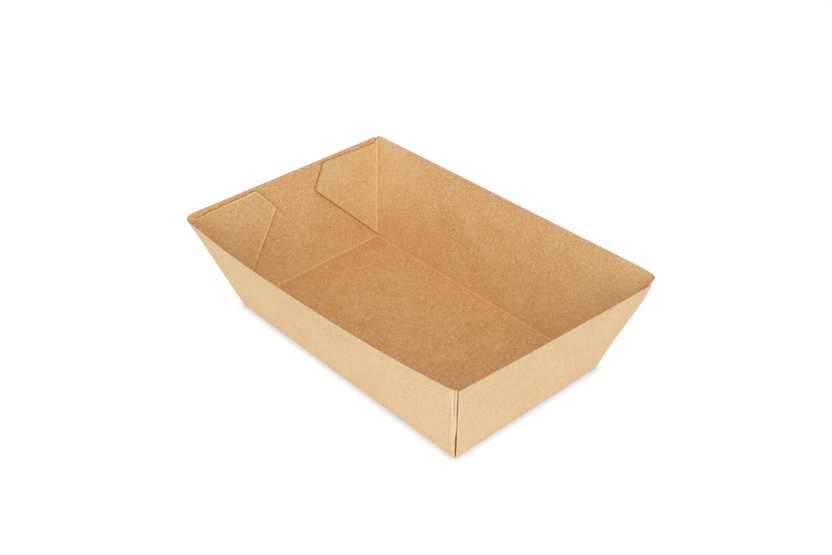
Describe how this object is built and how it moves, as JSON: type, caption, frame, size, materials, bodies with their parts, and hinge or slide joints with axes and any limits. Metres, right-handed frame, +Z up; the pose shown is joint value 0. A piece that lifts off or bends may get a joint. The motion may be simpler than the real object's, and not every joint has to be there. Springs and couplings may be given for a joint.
{
  "type": "tray",
  "caption": "Open rectangular kraft board tray with flared walls and corner flaps glued inside the end walls",
  "frame": {"origin": "middle of the underside of the base, which is flat on the table", "axes": "+X along the long walls, +Y along the end walls towards the straight long wall, +Z up; the bulged long wall is at -Y"},
  "size_m": [0.18, 0.124, 0.05],
  "materials": {
    "kraft_board": "matt"
  },
  "bodies": {
    "root": {"tray": "kraft_board"}
  },
  "joints": []
}
